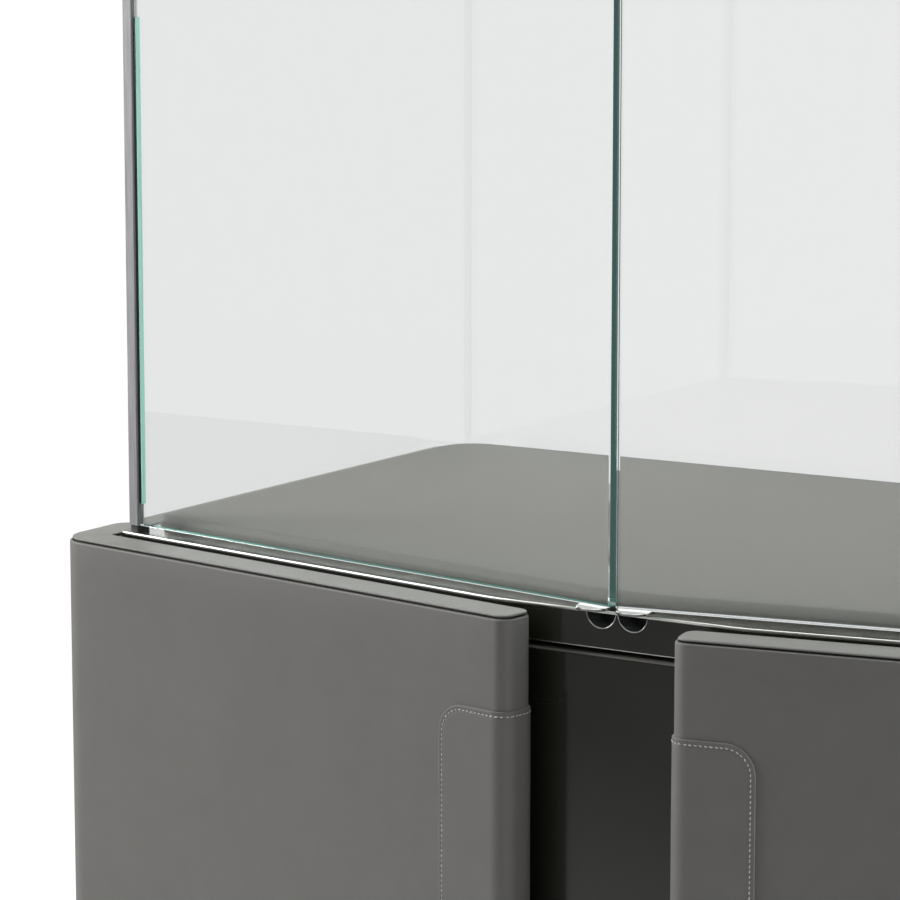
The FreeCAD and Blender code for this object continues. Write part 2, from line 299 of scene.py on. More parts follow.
def leatherMaterial(name, colour, dark, roughness, shine=0.5,
                    grain=leather["grainStrength"]):
    made, tree, shader = newMaterial(name)
    where = objectPlace(tree)
    cells = addNode(tree, "ShaderNodeTexVoronoi", links=[("Vector", where)],
                    feature="DISTANCE_TO_EDGE", Scale=leather["pebble"])
    creases = ramp(tree, cells.outputs["Distance"], 0.0, 0.22)
    fine = noiseFrom(tree, where, 2600.0, 3.0)
    broad = noiseFrom(tree, where, 9.0, 4.0, Roughness=0.6)
    patchy = noiseFrom(tree, where, 70.0, 3.0)
    mottle = mathNode(tree, "ADD", mathNode(tree, "MULTIPLY", broad, 0.65),
                      mathNode(tree, "MULTIPLY", patchy, 0.35))
    # painted shade: the grain creases are darkened to 0.72 in the base colour; the mottle is random tone
    shade = mathNode(tree, "MULTIPLY", ramp(tree, mottle, 0.32, 0.66),
                     ramp(tree, creases, 0.0, 1.0, 0.72, 1.0))
    tree.links.new(mixColour(tree, shade, dark, colour), shader.inputs["Base Color"])
    rough = ramp(tree, mottle, 0.3, 0.7, roughness - 0.05, roughness + 0.06)
    tree.links.new(rough, shader.inputs["Roughness"])
    height = mathNode(tree, "ADD", creases, mathNode(tree, "MULTIPLY", fine, 0.45))
    addBump(tree, shader, height, grain, leather["grainDepth"])
    shader.inputs["Specular IOR Level"].default_value = shine
    shader.inputs["Sheen Weight"].default_value = leather["sheen"]
    shader.inputs["Sheen Roughness"].default_value = 0.4
    return made


lacquer = {
    "gloss": (0.0165, 0.0168, 0.0110),
    "glossRoughness": 0.16,
    # painted light: a much paler copy of the lacquer for the lit top of the stile
    "edge": (0.19, 0.185, 0.165),
    "paintedLightRoughness": 0.35,
    "inner": (0.045, 0.043, 0.038),
    "innerRoughness": 0.42,
}


def lacquerMaterial(name, colour, roughness, coat):
    made, tree, shader = newMaterial(name)
    where = objectPlace(tree)
    cloud = noiseFrom(tree, where, 14.0, 5.0)
    peel = noiseFrom(tree, where, 420.0, 2.0)
    deep = tuple(c * 0.78 for c in colour)
    tree.links.new(mixColour(tree, ramp(tree, cloud, 0.3, 0.7), deep, colour),
                   shader.inputs["Base Color"])
    tree.links.new(ramp(tree, cloud, 0.3, 0.7, roughness - 0.03, roughness + 0.04),
                   shader.inputs["Roughness"])
    addBump(tree, shader, peel, 0.25, 0.00004)
    shader.inputs["Coat Weight"].default_value = coat
    shader.inputs["Coat Roughness"].default_value = 0.08
    return made


metal = {
    "steel": (0.60, 0.605, 0.59),
    "steelRoughness": 0.16,
    "aluminium": (0.42, 0.413, 0.424),
    "aluminiumRoughness": 0.75,
    # painted highlight: a paler copy of the polished steel; the bead's rounding catches real light and the paler
    # colour brightens it
    "bead": (0.86, 0.85, 0.80),
    "beadRoughness": 0.32,
    "hinge": (0.45, 0.45, 0.44),
    "hingeRoughness": 0.3,
}


def metalMaterial(name, colour, roughness, stretch, grain):
    # grain runs along the axis whose stretch is smallest
    made, tree, shader = newMaterial(name)
    where = objectPlace(tree)
    lines = noiseFrom(tree, stretched(tree, where, stretch), 1.0, 4.0)
    smudge = noiseFrom(tree, where, 22.0, 3.0)
    tint = tuple(c * 0.88 for c in colour)
    tree.links.new(mixColour(tree, ramp(tree, smudge, 0.3, 0.7), tint, colour),
                   shader.inputs["Base Color"])
    tree.links.new(ramp(tree, lines, 0.25, 0.75, roughness * 0.75, roughness * 1.3),
                   shader.inputs["Roughness"])
    addBump(tree, shader, lines, grain, 0.00003)
    shader.inputs["Metallic"].default_value = 1.0
    return made


def rubberMaterial(name, colour, roughness):
    made, tree, shader = newMaterial(name)
    where = objectPlace(tree)
    speck = noiseFrom(tree, where, 900.0, 3.0)
    dull = tuple(c * 1.8 for c in colour)
    tree.links.new(mixColour(tree, ramp(tree, speck, 0.35, 0.7), colour, dull),
                   shader.inputs["Base Color"])
    tree.links.new(ramp(tree, speck, 0.3, 0.7, roughness - 0.08, roughness + 0.08),
                   shader.inputs["Roughness"])
    addBump(tree, shader, speck, 0.3, 0.00005)
    return made


glassFinish = {
    "clear": (0.942, 0.919, 0.922, 1),
    "absorb": (0.25, 0.625, 0.55, 1),
    "density": 8.0,
    "glow": (0.60, 1.0, 0.94, 1),  # light gathered along the pane, seen at its edges
    "glowDensity": 1.3,
    "shadow": (0.955, 0.965, 0.96, 1),
    "ior": 1.5,
    "cut": (0.34, 0.60, 0.53),
    "cutDark": (0.24, 0.47, 0.41),
    "cutGlow": 0.45,
}


def glassMaterial(name):
    made, tree, shader = newMaterial(name)
    shader.inputs["Base Color"].default_value = glassFinish["clear"]
    shader.inputs["Transmission Weight"].default_value = 1.0
    shader.inputs["Roughness"].default_value = 0.0
    shader.inputs["IOR"].default_value = glassFinish["ior"]
    where = objectPlace(tree)
    addBump(tree, shader, noiseFrom(tree, where, 5.0, 1.0), 0.04, 0.0002)
    clear = addNode(tree, "ShaderNodeBsdfTransparent")
    clear.inputs["Color"].default_value = glassFinish["shadow"]
    path = addNode(tree, "ShaderNodeLightPath")
    lamps = addNode(tree, "ShaderNodeMixShader",
                    links=[(0, path.outputs["Is Shadow Ray"]), (1, shader.outputs[0]),
                           (2, clear.outputs[0])])
    ends = tree.nodes["Material Output"]
    tree.links.new(lamps.outputs[0], ends.inputs["Surface"])
    soak = addNode(tree, "ShaderNodeVolumeAbsorption")
    soak.inputs["Color"].default_value = glassFinish["absorb"]
    soak.inputs["Density"].default_value = glassFinish["density"]
    gather = addNode(tree, "ShaderNodeEmission")
    gather.inputs["Color"].default_value = glassFinish["glow"]
    gather.inputs["Strength"].default_value = glassFinish["glowDensity"]
    inside = addNode(tree, "ShaderNodeAddShader", links=[(0, soak.outputs[0]),
                                                         (1, gather.outputs[0])])
    tree.links.new(inside.outputs[0], ends.inputs["Volume"])
    return made


def cutGlassMaterial(name):  # the ground face of a pane, lit from within
    made, tree, shader = newMaterial(name)
    where = objectPlace(tree)
    lines = noiseFrom(tree, stretched(tree, where, (900, 900, 14)), 1.0, 3.0)
    tone = mixColour(tree, ramp(tree, lines, 0.35, 0.65), glassFinish["cutDark"],
                     glassFinish["cut"])
    tree.links.new(tone, shader.inputs["Base Color"])
    tree.links.new(tone, shader.inputs["Emission Color"])
    shader.inputs["Emission Strength"].default_value = glassFinish["cutGlow"]
    tree.links.new(ramp(tree, lines, 0.3, 0.7, 0.2, 0.45), shader.inputs["Roughness"])
    return made


finishes = {
    "leatherGrey": leatherMaterial("leatherGrey", leather["colour"], leather["dark"],
                                   leather["roughness"]),
    # painted light: paler copy of the leather for the tops
    "leatherLitTop": leatherMaterial("leatherLitTop", leather["litTopColour"], leather["litTopDark"],
                                  leather["roughness"]),
    "cutEdge": leatherMaterial("cutEdge", leather["edgeColour"], leather["edgeDark"],
                               leather["roughness"]),
    "leatherPad": leatherMaterial("leatherPad", leather["padColour"], leather["padDark"],
                                  leather["roughness"] + 0.16, 0.3, leather["padGrain"]),
    "lacquerBronze": lacquerMaterial("lacquerBronze", lacquer["gloss"],
                                     lacquer["glossRoughness"], 0.6),
    "lacquerPaintedLight": lacquerMaterial("lacquerPaintedLight", lacquer["edge"],
                                   lacquer["paintedLightRoughness"], 0.3),
    "lacquerInner": lacquerMaterial("lacquerInner", lacquer["inner"],
                                    lacquer["innerRoughness"], 0.0),
    "steelPolished": metalMaterial("steelPolished", metal["steel"],
                                   metal["steelRoughness"], (60, 60, 60), 0.1),
    "aluminiumSatin": metalMaterial("aluminiumSatin", metal["aluminium"],
                                    metal["aluminiumRoughness"], (3000, 3000, 25), 0.4),
    "steelHighlight": metalMaterial("steelHighlight", metal["bead"], metal["beadRoughness"],
                               (60, 60, 60), 0.1),
    "hingeSteel": metalMaterial("hingeSteel", metal["hinge"], metal["hingeRoughness"],
                                (60, 2500, 2500), 0.4),
    "rubberBlack": rubberMaterial("rubberBlack", (0.012, 0.012, 0.012), 0.55),
    "blackGloss": rubberMaterial("blackGloss", (0.006, 0.006, 0.006), 0.2),
    "threadGrey": rubberMaterial("threadGrey", (0.42, 0.415, 0.395), 0.7),
    "glassClear": glassMaterial("glassClear"),
    "glassCut": cutGlassMaterial("glassCut"),
}
slotFinish = {
    "leather_grey": "leatherGrey",
    # painted light: the leather_edge slot takes the paler top-lit leather
    "leather_edge": "leatherLitTop",
    "lacquer_bronze": "lacquerBronze",
    "lacquer_inner": "lacquerInner",
    "steel_polished": "steelPolished",
    "aluminium_satin": "aluminiumSatin",
    "rubber_black": "rubberBlack",
    "black_gloss": "blackGloss",
    "hinge_steel": "hingeSteel",
    "glass_clear": "glassClear",
}
for part in frame["record"]["subparts"]:
    node = frame["nodes"][part["node"]]
    node.data.materials.clear()
    node.data.materials.append(finishes[slotFinish[part["material_slot"]]])
print("finishes made")


# leather doors

doorSkin = {
    "rollDrop": 0.0025,            # top of the rolled edge below the top of the cap
    "rollRadius": 0.0013,
    "recessIn": 0.0048,            # shadow gap under the cap
    "capThick": 0.0014,
    "capIn": 0.0019,
    "capInRear": 0.0007,
    "capUnder": 0.0004,            # rounding under the cap, and over it
    "capOver": 0.0008,
    "softEdge": 0.0028,
    "sink": 0.0006,                # floor of the shadow gap below the roll
    "flat": 0.02,                  # plain band left next to each end of the skin
    "clear": 0.00002,
}


def skinProfile(low, high):
    soft = doorSkin["softEdge"]
    roll = doorSkin["rollRadius"]
    rows = [(0.0036, low), (0.0024, low)]
    for k in range(1, 6):          # rounded lower edge
        angle = math.pi / 2 * k / 5
        rows.append((soft * (1 - math.sin(angle)) * 0.85, low + soft * (1 - math.cos(angle))))
    rows.append((0, low + doorSkin["flat"]))
    rows.append((0, high - doorSkin["flat"]))
    level = high - doorSkin["rollDrop"] - roll
    for k in range(0, 11):         # leather rolled over at the top
        angle = math.pi * k / 10
        rows.append((roll - roll * math.cos(angle), level + roll * math.sin(angle)))
    rows.append((2 * roll, level - doorSkin["sink"]))
    rows.append((doorSkin["recessIn"], level - doorSkin["sink"]))
    rows.append((doorSkin["recessIn"], high - doorSkin["capThick"] - doorSkin["clear"]))
    return rows


def capProfile(high):
    under = doorSkin["capUnder"]
    over = doorSkin["capOver"]
    rows = []
    for k in range(0, 4):
        angle = math.pi / 2 * k / 3
        rows.append((under * (1 - math.sin(angle)),
                     high - doorSkin["capThick"] + under * (1 - math.cos(angle))))
    for k in range(0, 7):
        angle = math.pi / 2 * k / 6
        rows.append((over * (1 - math.cos(angle)), high - over * (1 - math.sin(angle))))
    return rows


skinLow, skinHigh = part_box("door_leather_left")
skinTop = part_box("door_top_strip_left")[1].z
outerX = skinLow.x
innerX = outerX + plan["returnThick"]
returnEnd = skinHigh.y


def doorOutline(inFront, inRear):
    endFront = alongFront(freeEnd - inFront, inFront - plan["leatherFront"])
    endBack = alongFront(freeEnd - inFront, -inRear - plan["leatherBack"])
    left = outerX + inFront
    right = innerX - inRear
    bull = (right - left) / 2 - doorSkin["clear"]  # the rear end of the wrap is fully round
    end = plan["endRadius"] - inFront
    return [
        (left, frontLineY(left, plan["leatherFront"] - inFront), plan["cornerRadius"] - inFront),
        (endFront.x, endFront.y, end),
        (endBack.x, endBack.y, end),
        (right, frontLineY(right, plan["leatherBack"] + inRear), plan["innerRadius"]),
        (right, returnEnd - inFront, bull),
        (left, returnEnd - inFront, bull),
    ]


doorCorners = doorOutline(0.0, 0.0)
capCorners = doorOutline(doorSkin["capIn"], doorSkin["capInRear"])
endFront = alongFront(freeEnd, -plan["leatherFront"])
endBack = alongFront(freeEnd, -plan["leatherBack"])


hingeRoom = {
    "halfWidth": 0.0073,
    "halfHeight": 0.0032,
    "beyond": 0.01,                # the cutters reach this far past the leather
}


def boxObject(low, high):
    bm = bmesh.new()
    bmesh.ops.create_cube(bm, size=1)
    middle = (low + high) / 2
    size = high - low
    for vert in bm.verts:
        vert.co = Vector([vert.co[i] * size[i] + middle[i] for i in range(3)])
    mesh = bpy.data.meshes.new("cutter")
    bm.to_mesh(mesh)
    bm.free()
    return linkObject("cutter", mesh)


def hingeCutters(flip):
    cutters = []
    for i in (1, 2, 3):
        low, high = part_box("hinge_arm_%d_left" % i)
        level = (low.z + high.z) / 2
        near = leatherAxis[0] - hingeRoom["halfWidth"]
        start = leatherAxis[1] - hingeRoom["halfWidth"]
        spread = sorted((near * flip, (innerX + hingeRoom["beyond"]) * flip))
        cutters.append(boxObject(
            Vector((spread[0], start, level - hingeRoom["halfHeight"])),
            Vector((spread[1], returnEnd + hingeRoom["beyond"], level + hingeRoom["halfHeight"]))))
    return cutters


for side, flip in (("left", 1), ("right", -1)):
    body = "leather_door_" + side
    steps = [24, 3, 24, 4, 2, 6]
    mesh = shellMesh("doorLeather", doorCorners, skinProfile(skinLow.z, skinTop),
                     flip=flip, arcSteps=10, runSteps=steps)
    door = addPiece("doorLeather_" + side, mesh, body, "leather_grey", "leatherGrey")
    cutWith(door, hingeCutters(flip))
    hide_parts("door_leather_" + side)
    # the cap takes the paler leather: painted light from above
    mesh = shellMesh("doorCap", capCorners, capProfile(skinTop), flip=flip,
                     arcSteps=10, runSteps=steps)
    cap = addPiece("doorCap_" + side, mesh, body, "leather_grey", "leatherLitTop")
    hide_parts("door_top_strip_" + side)
print("leather doors wrapped")


# stitched handle patches

patch = {
    "width": 0.056,
    "backWidth": 0.014,
    "thick": 0.0014,
    "radius": 0.020,
    "stitchIn": 0.0030,            # stitch line in from the cut edge
    "stitchPitch": 0.0034,
    "stitchLength": 0.0024,
    "thread": 0.00042,
    "sunk": 0.0004,
    "edgeRound": 0.0005,
    "seamHalf": 0.0007,            # the stitches pull the leather down along their line
    "seamDepth": 0.00028,
    "ripple": 0.00012,
    "seed": 11,
}
patchLow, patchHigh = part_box("handle_patch_left")


def openPath(corners, step):  # points, outward normals and lengths along a rounded open line
    points = []
    last = len(corners) - 1
    places = [Vector(corner[:2]) for corner in corners]
    spans = [(places[0], places[0], None, 0)]
    for i in range(1, last):
        spans.append(cornerArc(places[i - 1], places[i], places[i + 1], corners[i][2]))
    spans.append((places[last], places[last], None, 0))
    for i in range(last + 1):
        start, end, centre, sweep = spans[i]
        if centre is not None:
            arm = start - centre
            steps = max(2, int(abs(sweep) * arm.length / step))
            for k in range(steps + 1):
                spoke = turned(arm, sweep * k / steps)
                points.append((centre + spoke, spoke.normalized()))
        if i < last:
            follow = spans[i + 1][0]
            way = (follow - end).normalized()
            outward = Vector((way.y, -way.x))
            steps = max(1, int((follow - end).length / step))
            first = 0 if centre is None else 1
            for k in range(first, steps):
                points.append((end.lerp(follow, k / steps), outward))
            if i + 1 == last:
                points.append((follow, outward))
    lengths = [0.0]
    for k in range(1, len(points)):
        lengths.append(lengths[-1] + (points[k][0] - points[k - 1][0]).length)
    return points, lengths


patchStart = alongFront(freeEnd - patch["width"], -plan["leatherFront"])
patchFinish = alongFront(freeEnd - patch["backWidth"], -plan["leatherBack"])
patchPath, patchLengths = openPath([
    (patchStart.x, patchStart.y),
    (endFront.x, endFront.y, plan["endRadius"]),
    (endBack.x, endBack.y, plan["endRadius"]),
    (patchFinish.x, patchFinish.y),
], 0.0008)
patchRun = patchLengths[-1]


def onPath(s, lift):
    s = min(max(s, 0.0), patchRun)
    low = 0
    high = len(patchLengths) - 1
    while high - low > 1:
        middle = (low + high) // 2
        if patchLengths[middle] <= s:
            low = middle
        else:
            high = middle
    span = patchLengths[high] - patchLengths[low]
    share = (s - patchLengths[low]) / span if span > 0 else 0.0
    place = patchPath[low][0].lerp(patchPath[high][0], share)
    outward = patchPath[low][1].lerp(patchPath[high][1], share).normalized()
    return place + outward * lift


def patchEdgeDistance(s, z):
    radius = patch["radius"]
    drop = min(patchHigh.z - z, z - patchLow.z)
    if s < radius and drop < radius:
        return radius - math.hypot(radius - s, radius - drop)
    return min(s, drop, patchRun - s)


def patchLift(s, z):
    gap = max(patchEdgeDistance(s, z), 0.0)
    edge = patch["edgeRound"]
    lift = patch["thick"]
    if gap < edge:
        lift -= edge * (1 - math.sqrt(max(0.0, 1 - (1 - gap / edge) ** 2)))
    away = (gap - patch["stitchIn"]) / patch["seamHalf"]
    lift -= patch["seamDepth"] * math.exp(-away * away)
    lift += patch["ripple"] * noise.noise(Vector((s * 40, z * 18, 3.1)))
    return lift


def patchMesh(name, flip):
    radius = patch["radius"]
    near = [0, 0.00012, 0.0003, 0.0006, 0.0012, 0.0018, 0.0023, 0.0027, 0.0030, 0.0033, 0.0037,
            0.0043, 0.0055, 0.008, 0.011, 0.0145, 0.018, 0.022]
    drops = near + [0.03, 0.05, 0.08, 0.11, 0.14]
    levels = [patchLow.z + d for d in drops] + [patchHigh.z - d for d in reversed(drops)]
    columns = list(near)
    while columns[-1] < patchRun - 0.0045:
        columns.append(columns[-1] + 0.0018)
    columns = [c for c in columns if c < patchRun - 0.0040]
    columns += [patchRun - d for d in (0.0037, 0.0030, 0.0023, 0.0012, 0.0003, 0)]
    bm = bmesh.new()
    upper = []
    lower = []
    for z in levels:
        drop = min(patchHigh.z - z, z - patchLow.z)
        start = 0.0
        if drop < radius:
            start = radius - math.sqrt(max(0.0, radius ** 2 - (radius - drop) ** 2))
        rowUp = []
        rowDown = []
        for c in columns:
            s = start + c * (patchRun - start) / patchRun
            high = onPath(s, patchLift(s, z))
            deep = onPath(s, -patch["sunk"])
            rowUp.append(bm.verts.new((high.x * flip, high.y, z)))
            rowDown.append(bm.verts.new((deep.x * flip, deep.y, z)))
        upper.append(rowUp)
        lower.append(rowDown)
    rowCount = len(levels)
    columnCount = len(columns)
    for r in range(rowCount - 1):
        for c in range(columnCount - 1):
            bm.faces.new((upper[r][c], upper[r][c + 1], upper[r + 1][c + 1], upper[r + 1][c]))
            bm.faces.new((lower[r][c], lower[r + 1][c], lower[r + 1][c + 1], lower[r][c + 1]))
    border = [(0, c) for c in range(columnCount)]
    border += [(r, columnCount - 1) for r in range(1, rowCount)]
    border += [(rowCount - 1, c) for c in range(columnCount - 2, -1, -1)]
    border += [(r, 0) for r in range(rowCount - 2, 0, -1)]
    for row in upper:              # the cut edge shows lighter than the face
        for c in range(2):
            for face in row[c].link_faces:
                face.material_index = 1
    for k in range(len(border)):
        a = border[k]
        b = border[(k + 1) % len(border)]
        face = bm.faces.new((upper[a[0]][a[1]], lower[a[0]][a[1]],
                             lower[b[0]][b[1]], upper[b[0]][b[1]]))
        face.material_index = 1
    return finishMesh(bm, name, 50)


def stitchLine():  # (s, z) points of the stitch line, evenly spaced
    inset = patch["stitchIn"]
    radius = patch["radius"]
    bend = radius - inset
    line = []
    fineStep = 0.0004
    s = patchRun - inset
    while s > radius:
        line.append((s, patchHigh.z - inset))
        s -= fineStep
    for k in range(60):
        angle = math.pi / 2 * k / 60
        line.append((radius - bend * math.sin(angle), patchHigh.z - radius + bend * math.cos(angle)))
    z = patchHigh.z - radius
    while z > patchLow.z + radius:
        line.append((inset, z))
        z -= fineStep
    for k in range(60):
        angle = math.pi / 2 * k / 60
        line.append((radius - bend * math.cos(angle), patchLow.z + radius - bend * math.sin(angle)))
    s = radius
    while s < patchRun - inset:
        line.append((s, patchLow.z + inset))
        s += fineStep
    return line


def stitchMesh(name, flip):
    line = stitchLine()
    lengths = [0.0]
    for k in range(1, len(line)):
        lengths.append(lengths[-1] + math.hypot(line[k][0] - line[k - 1][0],
                                                line[k][1] - line[k - 1][1]))
    dice = random.Random(patch["seed"])
    bm = bmesh.new()
    at = patch["stitchPitch"] / 2
    k = 1
    while at < lengths[-1] - patch["stitchPitch"] / 2:
        while lengths[k] < at:
            k += 1
        s, z = line[k]
        way = Vector((line[k][0] - line[k - 1][0], line[k][1] - line[k - 1][1])).normalized()
        lean = math.radians(7 + dice.uniform(-3, 3))
        way = turned(way, lean)
        half = patch["stitchLength"] / 2 * dice.uniform(0.93, 1.05)
        rings = []
        for share, lift, thick in ((-1, -0.9, 0.45), (-0.8, 0.1, 0.85), (-0.4, 0.55, 1.0),
                                   (0, 0.65, 1.05), (0.4, 0.55, 1.0), (0.8, 0.1, 0.85),
                                   (1, -0.9, 0.45)):
            ps = s + way.x * half * share
            pz = z + way.y * half * share
            base = patchLift(ps, pz) + patch["thread"] * lift
            across = Vector((-way.y, way.x))
            ring = []
            for m in range(8):
                turn = math.tau * m / 8
                side = math.cos(turn) * patch["thread"] * thick
                up = math.sin(turn) * patch["thread"] * thick * 0.8
                flat = onPath(ps + across.x * side, base + up)
                ring.append(bm.verts.new((flat.x * flip, flat.y, pz + across.y * side)))
            rings.append(ring)
        joinRings(bm, rings)
        at += patch["stitchPitch"]
    return finishMesh(bm, name, 60)


for side, flip in (("left", 1), ("right", -1)):
    body = "leather_door_" + side
    piece = addPiece("handlePatch_" + side, patchMesh("patch", flip), body, "leather_grey",
                     "leatherGrey", "cutEdge")
    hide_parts("handle_patch_" + side)
    addPiece("patchStitches_" + side, stitchMesh("stitches", flip), body, "leather_edge",
             "threadGrey")
print("patches stitched")


# fixed leather on the sides and back

cladding = {
    "frontRadius": 0.003,
    "innerRadius": 0.001,
    "capInRear": 0.0002,
}
claddingLow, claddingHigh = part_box("side_cladding_left")


def claddingOutline(inFront, inRear):
    corner = plan["cornerRadius"] - inFront
    return [
        (claddingLow.x + inFront, claddingLow.y + inFront, cladding["frontRadius"]),
        (claddingHigh.x - inRear, claddingLow.y + inFront, cladding["innerRadius"]),
        (claddingHigh.x - inRear, claddingHigh.y - inFront, cladding["innerRadius"]),
        (claddingLow.x + inFront, claddingHigh.y - inFront, corner),
    ]


for side, flip in (("left", 1), ("right", -1)):
    steps = [2, 20, 2, 20]
    mesh = shellMesh("sideLeather", claddingOutline(0.0, 0.0),
                     skinProfile(claddingLow.z, claddingHigh.z), flip=flip,
                     arcSteps=10, runSteps=steps)
    piece = addPiece("sideLeather_" + side, mesh, "cabinet", "leather_grey", "leatherGrey")
    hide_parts("side_cladding_" + side)
    # the cap takes the paler leather: painted light from above
    mesh = shellMesh("sideCap", claddingOutline(doorSkin["capIn"], cladding["capInRear"]),
                     capProfile(claddingHigh.z), flip=flip, arcSteps=10, runSteps=steps)
    addPiece("sideCap_" + side, mesh, "cabinet", "leather_grey", "leatherLitTop")
print("sides clad")


# centre stile with a softened top edge

stile = {
    "corner": 0.0012,
    "edge": 0.0032,
    "foot": 0.0006,
    "plainBelow": 0.02,            # the rounding keeps within this of the top
    "paintedLightTop": 0.0022,             # painted light: the top edge is paler where the light falls on it
}
stileLow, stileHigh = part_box("centre_stile")
stileRows = [
    (stile["foot"], stileLow.z),
    (0.0, stileLow.z + stile["foot"]),
    (0.0, stileHigh.z - stile["plainBelow"]),
]
for k in range(0, 9):
    angle = math.pi / 2 * k / 8
    stileRows.append((stile["edge"] * (1 - math.cos(angle)),
                      stileHigh.z - stile["edge"] * (1 - math.sin(angle))))
stileCorners = [
    (stileLow.x, stileLow.y, stile["corner"]),
    (stileHigh.x, stileLow.y, stile["corner"]),
    (stileHigh.x, stileHigh.y, stile["corner"]),
    (stileLow.x, stileHigh.y, stile["corner"]),
]
mesh = shellMesh("centreStile", stileCorners, stileRows, arcSteps=5)
centreStile = addPiece("centreStile", mesh, "cabinet", "lacquer_bronze",
                       "lacquerBronze", "lacquerPaintedLight")
# painted light: the faces along the top take the paler lacquer
for face in mesh.polygons:
    if face.center.z > stileHigh.z - stile["paintedLightTop"]:
        face.material_index = 1
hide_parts("centre_stile")
print("stile rounded")


# polished lines: the rounded front of the rim and the lower edge of the fascia, in a paler steel that paints their
# highlights brighter

brightLine = {
    "rimRadius": 0.00095,
    "rimSet": 0.00055,             # centre of the bead behind the edge of the rim
    "rimAhead": 0.009,
    "rimCorner": 0.009,
    "rimFlatHalf": 0.090,
    "rimBend": 0.120,
    "rimReturn": 0.06,             # how far the bead runs back along each side
    "rimStep": 0.003,
    "fasciaRadius": 0.00035,
}


def tubeMesh(name, places, outwards, radius, across=(0, 0, 1), sides=10):
    bm = bmesh.new()
    rings = []
    for place, outward in zip(places, outwards):
        ring = []
        for m in range(sides):
            turn = math.tau * m / sides
            ring.append(bm.verts.new(place + outward * (math.cos(turn) * radius)
                                     + Vector(across) * (math.sin(turn) * radius)))
        rings.append(ring)
    joinRings(bm, rings)
    return finishMesh(bm, name, 60)


def rimBeadMesh():
    rimLow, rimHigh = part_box("rim_plate")
    flatY = frontLineY(-brightLine["rimFlatHalf"], brightLine["rimAhead"])
    cornerY = frontLineY(rimLow.x, brightLine["rimAhead"])
    corners = [
        (rimLow.x, cornerY + brightLine["rimReturn"]),
        (rimLow.x, cornerY, brightLine["rimCorner"]),
        (-brightLine["rimFlatHalf"], flatY, brightLine["rimBend"]),
        (brightLine["rimFlatHalf"], flatY, brightLine["rimBend"]),
        (rimHigh.x, cornerY, brightLine["rimCorner"]),
        (rimHigh.x, cornerY + brightLine["rimReturn"]),
    ]
    path = openPath(corners, brightLine["rimStep"])[0]
    level = (rimLow.z + rimHigh.z) / 2
    places = [Vector((*(p - n * brightLine["rimSet"]), level)) for p, n in path]
    outwards = [Vector((n.x, n.y, 0)) for p, n in path]
    return tubeMesh("rimBead", places, outwards, brightLine["rimRadius"])


addPiece("rimBead", rimBeadMesh(), "cabinet", "steel_polished", "steelHighlight")
# painted highlight: a thin bright steel tube stands for the highlight along the lower edge of the lacquer fascia
fasciaLow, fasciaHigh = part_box("fascia_centre")
level = fasciaLow.z + brightLine["fasciaRadius"]
ends = [Vector((x, fasciaLow.y + brightLine["fasciaRadius"], level))
        for x in (fasciaLow.x, 0, fasciaHigh.x)]
mesh = tubeMesh("fasciaHighlightLine", ends, [Vector((0, -1, 0))] * 3, brightLine["fasciaRadius"])
addPiece("fasciaHighlightLine", mesh, "cabinet", "steel_polished", "steelHighlight")
print("bright lines drawn")


# deck pad

pad = {
    "backCorner": 0.035,
    "frontCorner": 0.007,
    "bow": 0.260,
    "edge": 0.0062,
    "crown": 0.0006,
    "ripple": 0.00016,
    "ahead": -0.021,
    "underEdge": 0.0026,           # height at which the upper rounding starts
    "arcSteps": 14,
    "runSteps": [20, 20, 20, 30, 20],
}
padLow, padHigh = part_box("deck_pad")


def deckPadMesh():
    half = padHigh.x
    frontSide = frontLineY(-half, pad["ahead"])
    corners = [
        (-half, frontSide, pad["frontCorner"]),
        (0, frontLineY(0, pad["ahead"]), pad["bow"]),
        (half, frontSide, pad["frontCorner"]),
        (half, padHigh.y, pad["backCorner"]),
        (-half, padHigh.y, pad["backCorner"]),
    ]
    thick = padHigh.z - padLow.z
    rows = [(0.0030, 0.0), (0.0014, 0.0003), (0.0004, 0.0012), (0.0, pad["underEdge"])]
    for k in range(1, 11):         # soft upper edge
        angle = math.pi / 2 * k / 10
        rows.append((pad["edge"] * (1 - math.cos(angle)),
                     pad["underEdge"] + (thick - pad["underEdge"]) * math.sin(angle)))
    bm = bmesh.new()
    rings = []
    for inset, rise in rows:
        ring = outlineRing(insetCorners(corners, inset), pad["arcSteps"], pad["runSteps"])
        rings.append([bm.verts.new((p.x, p.y, padLow.z + rise)) for p in ring])
    inside = outlineRing(insetCorners(corners, rows[-1][0]), pad["arcSteps"], pad["runSteps"])
    centre = Vector((0, (padLow.y + padHigh.y) / 2))
    steps = 22
    for k in range(1, steps):
        share = k / steps
        crown = pad["crown"] * (1 - (1 - share) ** 2)
        ring = []
        for p in inside:
            q = p.lerp(centre, share)
            wave = noise.noise(Vector((q.x * 9, q.y * 14, 0.7))) * pad["ripple"] * min(1, share * 6)
            ring.append(bm.verts.new((q.x, q.y, padHigh.z + crown + wave)))
        rings.append(ring)
    joinRings(bm, rings)
    return finishMesh(bm, "deckPad", 60)


deckPad = addPiece("deckPad", deckPadMesh(), "cabinet", "leather_grey", "leatherPad")
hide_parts("deck_pad")
print("deck pad laid")


# fixed glass, bonded at its rear corners

caseGlass = {
    "arris": 0.0004,
}


